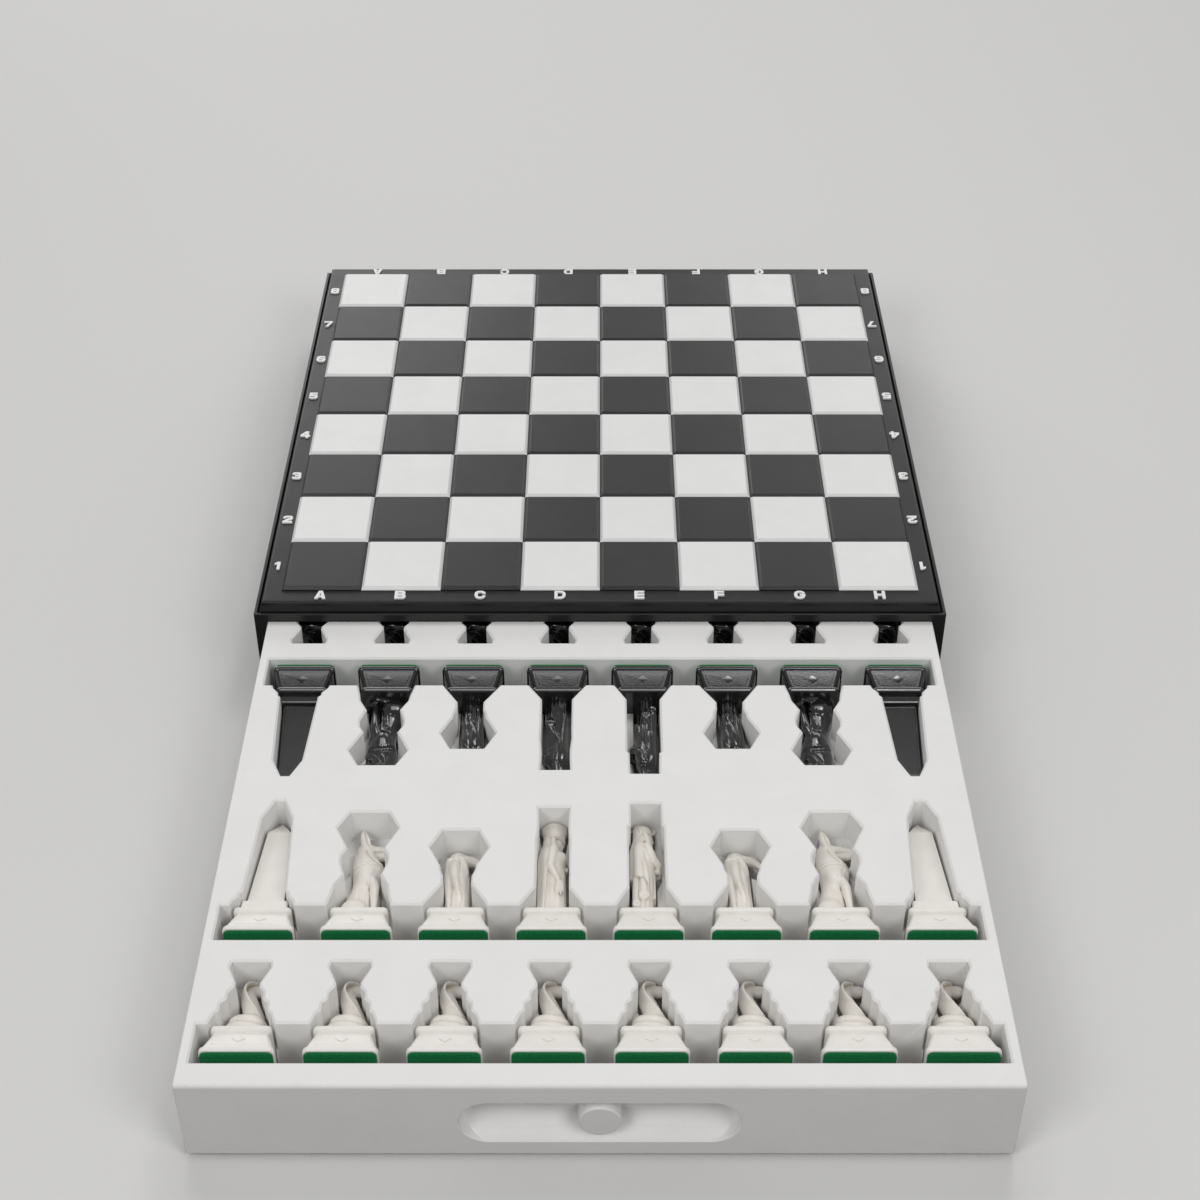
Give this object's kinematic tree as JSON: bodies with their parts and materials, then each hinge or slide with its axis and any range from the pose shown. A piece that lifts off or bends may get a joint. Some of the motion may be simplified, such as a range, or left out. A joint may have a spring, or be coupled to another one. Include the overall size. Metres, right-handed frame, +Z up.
{
  "type": "chess box with drawer",
  "caption": "Square board on a low case with one full-width drawer, whose shaped pockets hold a complete set of figure chessmen lying on their sides.",
  "frame": {"origin": "centre of the case's underside, on the table", "axes": "+Z up; -Y is the front, where the drawer comes out; +X to the right of a player who sits at the front"},
  "size_m": [0.3458, 0.6314, 0.0575],
  "materials": {
    "case": "black satin lacquer",
    "dark_tile": "black satin lacquer",
    "light_tile": "white satin lacquer",
    "lettering": "white, raised",
    "drawer": "off-white, matt",
    "ivory_men": "ivory-coloured resin, semi-gloss",
    "black_men": "black resin, gloss"
  },
  "bodies": {
    "case": {"case_walls": "case", "case_bottom": "case", "board_panel": "case", "dark_tiles": "dark_tile", "light_tiles": "light_tile", "near_letters": "lettering", "far_letters": "lettering", "left_numbers": "lettering", "right_numbers": "lettering"},
    "drawer": {"drawer_tray": "drawer", "drawer_knob": "drawer", "black_pawn_a": "black_men", "black_pawn_b": "black_men", "black_pawn_c": "black_men", "black_pawn_d": "black_men", "black_pawn_e": "black_men", "black_pawn_f": "black_men", "black_pawn_g": "black_men", "black_pawn_h": "black_men"},
    "white_rook_a": {"white_rook_a": "ivory_men"},
    "white_knight_b": {"white_knight_b": "ivory_men"},
    "white_bishop_c": {"white_bishop_c": "ivory_men"},
    "white_queen": {"white_queen": "ivory_men"},
    "white_king": {"white_king": "ivory_men"},
    "white_bishop_f": {"white_bishop_f": "ivory_men"},
    "white_knight_g": {"white_knight_g": "ivory_men"},
    "white_rook_h": {"white_rook_h": "ivory_men"},
    "white_pawn_a": {"white_pawn_a": "ivory_men"},
    "white_pawn_b": {"white_pawn_b": "ivory_men"},
    "white_pawn_c": {"white_pawn_c": "ivory_men"},
    "white_pawn_d": {"white_pawn_d": "ivory_men"},
    "white_pawn_e": {"white_pawn_e": "ivory_men"},
    "white_pawn_f": {"white_pawn_f": "ivory_men"},
    "white_pawn_g": {"white_pawn_g": "ivory_men"},
    "white_pawn_h": {"white_pawn_h": "ivory_men"},
    "black_rook_a": {"black_rook_a": "black_men"},
    "black_knight_b": {"black_knight_b": "black_men"},
    "black_bishop_c": {"black_bishop_c": "black_men"},
    "black_queen": {"black_queen": "black_men"},
    "black_king": {"black_king": "black_men"},
    "black_bishop_f": {"black_bishop_f": "black_men"},
    "black_knight_g": {"black_knight_g": "black_men"},
    "black_rook_h": {"black_rook_h": "black_men"}
  },
  "joints": [
    {"name": "drawer_slide", "type": "slide", "parent": "case", "child": "drawer", "axis": [0, -1, 0], "range_m": [-0.2856, 0.036]},
    {"name": "white_rook_a_lift", "type": "slide", "parent": "drawer", "child": "white_rook_a", "axis": [0, 0, 1], "range_m": [0, 0.045]},
    {"name": "white_knight_b_lift", "type": "slide", "parent": "drawer", "child": "white_knight_b", "axis": [0, 0, 1], "range_m": [0, 0.045]},
    {"name": "white_bishop_c_lift", "type": "slide", "parent": "drawer", "child": "white_bishop_c", "axis": [0, 0, 1], "range_m": [0, 0.045]},
    {"name": "white_queen_lift", "type": "slide", "parent": "drawer", "child": "white_queen", "axis": [0, 0, 1], "range_m": [0, 0.045]},
    {"name": "white_king_lift", "type": "slide", "parent": "drawer", "child": "white_king", "axis": [0, 0, 1], "range_m": [0, 0.045]},
    {"name": "white_bishop_f_lift", "type": "slide", "parent": "drawer", "child": "white_bishop_f", "axis": [0, 0, 1], "range_m": [0, 0.045]},
    {"name": "white_knight_g_lift", "type": "slide", "parent": "drawer", "child": "white_knight_g", "axis": [0, 0, 1], "range_m": [0, 0.045]},
    {"name": "white_rook_h_lift", "type": "slide", "parent": "drawer", "child": "white_rook_h", "axis": [0, 0, 1], "range_m": [0, 0.045]},
    {"name": "white_pawn_a_lift", "type": "slide", "parent": "drawer", "child": "white_pawn_a", "axis": [0, 0, 1], "range_m": [0, 0.045]},
    {"name": "white_pawn_b_lift", "type": "slide", "parent": "drawer", "child": "white_pawn_b", "axis": [0, 0, 1], "range_m": [0, 0.045]},
    {"name": "white_pawn_c_lift", "type": "slide", "parent": "drawer", "child": "white_pawn_c", "axis": [0, 0, 1], "range_m": [0, 0.045]},
    {"name": "white_pawn_d_lift", "type": "slide", "parent": "drawer", "child": "white_pawn_d", "axis": [0, 0, 1], "range_m": [0, 0.045]},
    {"name": "white_pawn_e_lift", "type": "slide", "parent": "drawer", "child": "white_pawn_e", "axis": [0, 0, 1], "range_m": [0, 0.045]},
    {"name": "white_pawn_f_lift", "type": "slide", "parent": "drawer", "child": "white_pawn_f", "axis": [0, 0, 1], "range_m": [0, 0.045]},
    {"name": "white_pawn_g_lift", "type": "slide", "parent": "drawer", "child": "white_pawn_g", "axis": [0, 0, 1], "range_m": [0, 0.045]},
    {"name": "white_pawn_h_lift", "type": "slide", "parent": "drawer", "child": "white_pawn_h", "axis": [0, 0, 1], "range_m": [0, 0.045]},
    {"name": "black_rook_a_lift", "type": "slide", "parent": "drawer", "child": "black_rook_a", "axis": [0, 0, 1], "range_m": [0, 0.045]},
    {"name": "black_knight_b_lift", "type": "slide", "parent": "drawer", "child": "black_knight_b", "axis": [0, 0, 1], "range_m": [0, 0.045]},
    {"name": "black_bishop_c_lift", "type": "slide", "parent": "drawer", "child": "black_bishop_c", "axis": [0, 0, 1], "range_m": [0, 0.045]},
    {"name": "black_queen_lift", "type": "slide", "parent": "drawer", "child": "black_queen", "axis": [0, 0, 1], "range_m": [0, 0.045]},
    {"name": "black_king_lift", "type": "slide", "parent": "drawer", "child": "black_king", "axis": [0, 0, 1], "range_m": [0, 0.045]},
    {"name": "black_bishop_f_lift", "type": "slide", "parent": "drawer", "child": "black_bishop_f", "axis": [0, 0, 1], "range_m": [0, 0.045]},
    {"name": "black_knight_g_lift", "type": "slide", "parent": "drawer", "child": "black_knight_g", "axis": [0, 0, 1], "range_m": [0, 0.045]},
    {"name": "black_rook_h_lift", "type": "slide", "parent": "drawer", "child": "black_rook_h", "axis": [0, 0, 1], "range_m": [0, 0.045]}
  ]
}
